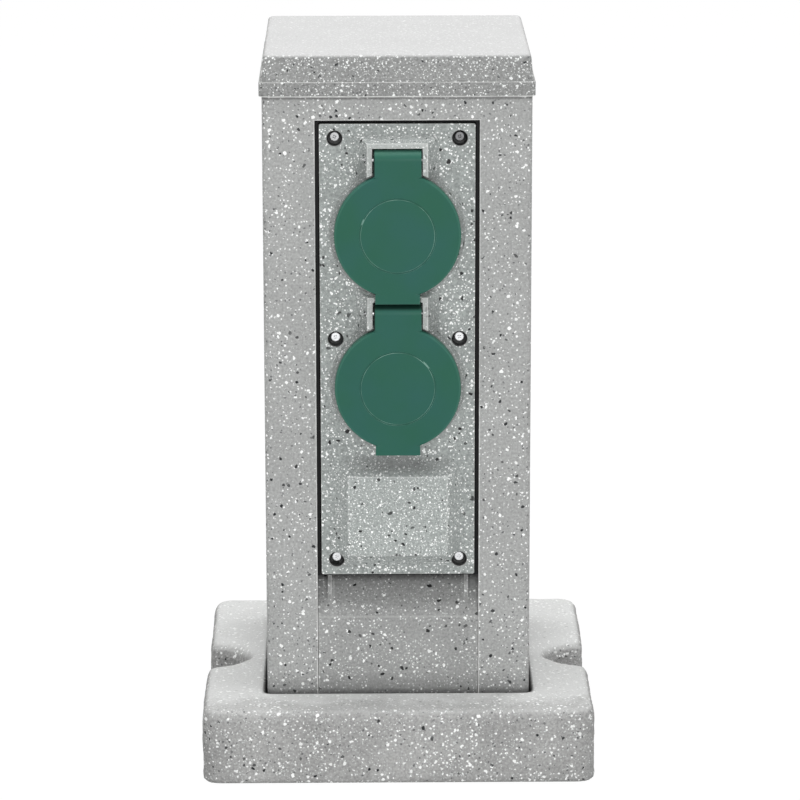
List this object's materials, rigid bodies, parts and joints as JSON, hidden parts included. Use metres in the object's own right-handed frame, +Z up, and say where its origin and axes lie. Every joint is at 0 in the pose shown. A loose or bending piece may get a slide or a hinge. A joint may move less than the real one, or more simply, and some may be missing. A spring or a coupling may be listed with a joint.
{
  "type": "garden socket post",
  "caption": "Square garden power post with a stone-look base, a flat cap and a faceplate whose sockets have self-closing round lids above a plain raised box.",
  "frame": {"origin": "middle of the base's underside, on the ground", "axes": "+Z up along the column, -Y out of the face with the sockets, +X to the viewer's right"},
  "size_m": [0.1616, 0.1616, 0.2962],
  "materials": {
    "stone_plastic": "rough cast stone look with fine flecks",
    "column_plastic": "granite look with sparse light and dark flecks",
    "apron_plastic": "granite look with sparse light and dark flecks",
    "plate_plastic": "granite look with dense fine light flecks",
    "lid_plastic": "satin green",
    "black_plastic": "matt black",
    "terminal_plastic": "plain",
    "black_rubber": "matt black",
    "steel": "bright",
    "brass": "plain",
    "wire_brown": "plain",
    "wire_blue": "plain",
    "wire_green": "plain"
  },
  "bodies": {
    "post": {"base_block": "stone_plastic", "entry_grommet": "black_rubber", "column": "column_plastic", "column_screws": "steel", "cap": "column_plastic", "apron": "apron_plastic", "socket_housing": "black_plastic", "faceplate_gasket": "black_rubber", "faceplate": "plate_plastic", "faceplate_screws": "steel", "socket_insert_upper": "black_plastic", "socket_insert_lower": "black_plastic", "insert_screws": "steel", "earth_strap_upper": "brass", "earth_strap_lower": "brass", "contacts_upper": "brass", "contacts_lower": "brass", "hinge_pin_upper": "steel", "hinge_pin_lower": "steel", "hinge_spring_upper": "steel", "hinge_spring_lower": "steel", "gland_body": "black_plastic", "gland_seal": "black_rubber", "gland_nut": "black_plastic", "gland_locknut": "black_plastic", "terminal_block": "terminal_plastic", "terminal_clamps": "brass", "terminal_screws": "steel", "wires_live": "wire_brown", "wires_neutral": "wire_blue", "wires_earth": "wire_green"},
    "lid_upper": {"lid_upper": "lid_plastic", "lid_seal_upper": "black_rubber"},
    "lid_lower": {"lid_lower": "lid_plastic", "lid_seal_lower": "black_rubber"}
  },
  "joints": [
    {"name": "lid_upper_hinge", "type": "hinge", "parent": "post", "child": "lid_upper", "pos_m": [0, -0.0595, 0.2549], "axis": [-1, 0, 0], "range_deg": [0, 100], "stiffness_Nm_per_rad": 0.008, "springref_deg": -68.75, "deforming": ["hinge_spring_upper"]},
    {"name": "lid_lower_hinge", "type": "hinge", "parent": "post", "child": "lid_lower", "pos_m": [0, -0.0595, 0.1923], "axis": [-1, 0, 0], "range_deg": [0, 90], "stiffness_Nm_per_rad": 0.008, "springref_deg": -68.75, "deforming": ["hinge_spring_lower"]}
  ]
}
